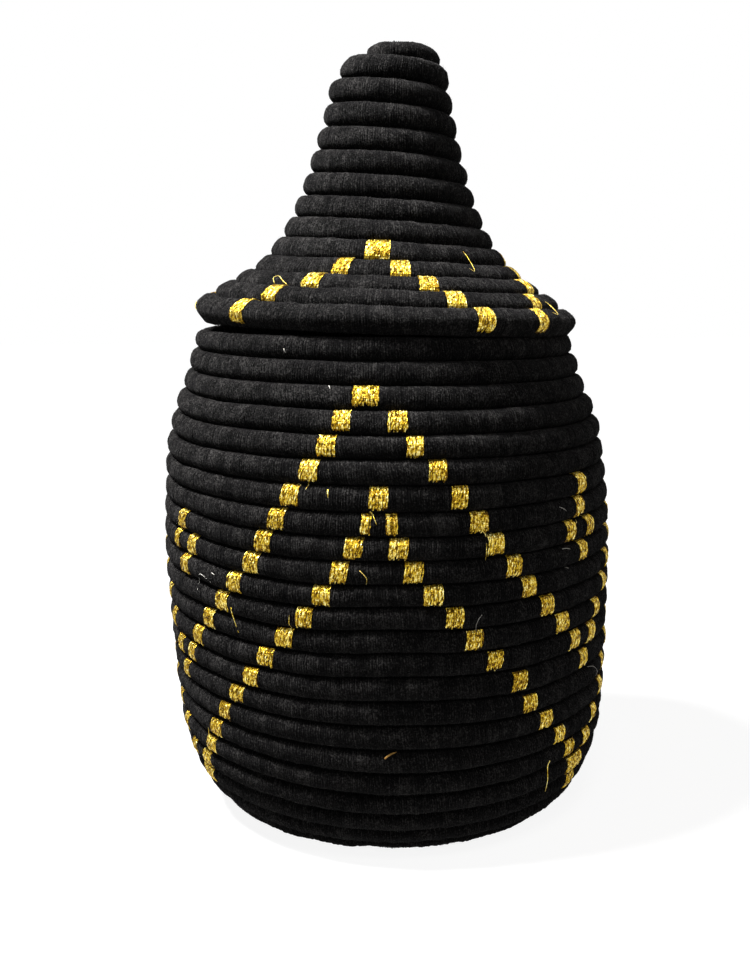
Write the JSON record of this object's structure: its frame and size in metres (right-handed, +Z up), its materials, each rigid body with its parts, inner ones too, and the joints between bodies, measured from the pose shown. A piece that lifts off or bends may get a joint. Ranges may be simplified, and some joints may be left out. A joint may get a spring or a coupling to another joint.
{
  "type": "coiled basket with lid",
  "caption": "Tall round-bellied basket of coiled wool-wrapped rope with a pointed lift-off lid and gold thread chevrons and diamonds.",
  "frame": {"origin": "centre of the basket's flat floor, on the surface it stands on", "axes": "+Z up towards the tip of the lid, front towards -Y"},
  "size_m": [0.2864, 0.2841, 0.4771],
  "materials": {
    "black_wool": "matte fuzzy wool yarn wrapped tightly round the core",
    "gold_thread": "metallic thread wrapped over the rope, glittering"
  },
  "bodies": {
    "basket": {"base_knot": "black_wool", "base_coil": "black_wool", "wall_course_01": "black_wool", "wall_course_02": "black_wool", "wall_course_03": "black_wool", "wall_course_04": "black_wool", "wall_course_05": "black_wool", "wall_course_06": "black_wool", "wall_course_07": "black_wool", "wall_course_08": "black_wool", "wall_course_09": "black_wool", "wall_course_10": "black_wool", "wall_course_11": "black_wool", "wall_course_12": "black_wool", "wall_course_13": "black_wool", "wall_course_14": "black_wool", "wall_course_15": "black_wool", "wall_course_16": "black_wool", "wall_course_17": "black_wool", "wall_course_18": "black_wool", "wall_course_19": "black_wool", "wall_course_20": "black_wool", "wall_course_21": "black_wool", "wall_course_22": "black_wool", "wall_course_23": "black_wool", "gold_outer_chevron_1": "gold_thread", "gold_outer_chevron_2": "gold_thread", "gold_outer_chevron_3": "gold_thread", "gold_inner_chevron_1": "gold_thread", "gold_inner_chevron_2": "gold_thread", "gold_inner_chevron_3": "gold_thread", "gold_diamond_1": "gold_thread", "gold_diamond_2": "gold_thread", "gold_diamond_3": "gold_thread"},
    "lid": {"lid_tip_knot": "black_wool", "lid_tip_coil": "black_wool", "lid_course_02": "black_wool", "lid_course_03": "black_wool", "lid_course_04": "black_wool", "lid_course_05": "black_wool", "lid_course_06": "black_wool", "lid_course_07": "black_wool", "lid_course_08": "black_wool", "lid_course_09": "black_wool", "lid_course_10": "black_wool", "lid_course_11": "black_wool", "lid_course_12": "black_wool", "lid_course_13": "black_wool", "lid_course_14": "black_wool", "lid_locating_collar": "black_wool", "gold_lid_chevron_1": "gold_thread", "gold_lid_chevron_2": "gold_thread", "gold_lid_chevron_3": "gold_thread"}
  },
  "joints": [
    {"name": "lid_lift", "type": "slide", "parent": "basket", "child": "lid", "axis": [0, 0, 1], "range_m": [0, 0.25]}
  ]
}
